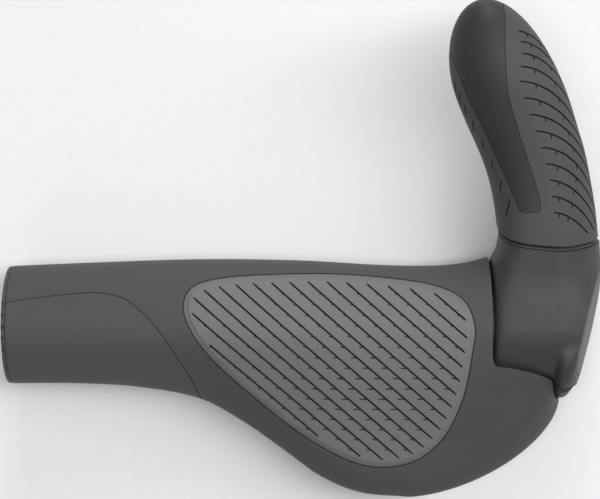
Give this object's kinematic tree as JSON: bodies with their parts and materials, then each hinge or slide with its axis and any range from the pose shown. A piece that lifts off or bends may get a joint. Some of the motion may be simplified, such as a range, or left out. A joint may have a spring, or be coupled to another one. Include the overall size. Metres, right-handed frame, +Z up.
{
  "type": "winged handlebar grip with bar end",
  "caption": "Rubber grip with a rear palm wing and a short curved bar end in a clamp at its outboard end.",
  "frame": {"origin": "on the handlebar's axis, at the grip's inboard face", "axes": "+X outboard along the handlebar, +Y forward where the bar end points, +Z up; the palm wing is level and behind the bar"},
  "size_m": [0.1566, 0.1286, 0.0429],
  "materials": {
    "hard_core": "moulded, satin",
    "grip_rubber": "fine matte grain",
    "panel_rubber": "fine matte grain",
    "pad_rubber": "smooth matte",
    "clamp_plastic": "fine spark grain",
    "cover_rubber": "fine matte grain",
    "thumb_rubber": "smooth matte",
    "cap_plastic": "satin",
    "screw_steel": "zinc plated"
  },
  "bodies": {
    "grip": {"core_sleeve": "hard_core", "grip_body": "grip_rubber", "finger_panel": "panel_rubber", "palm_pad": "pad_rubber"},
    "bar_end": {"bar_end_core": "clamp_plastic", "collar_ring": "clamp_plastic", "bar_end_cover": "cover_rubber", "thumb_panel": "thumb_rubber", "end_cap": "cap_plastic", "clamp_screw": "screw_steel", "screw_washer": "screw_steel"}
  },
  "joints": [
    {"name": "bar_end_swivel", "type": "hinge", "parent": "grip", "child": "bar_end", "pos_m": [0.138, 0, 0], "axis": [1, 0, 0], "range_deg": [-60, 60]}
  ]
}
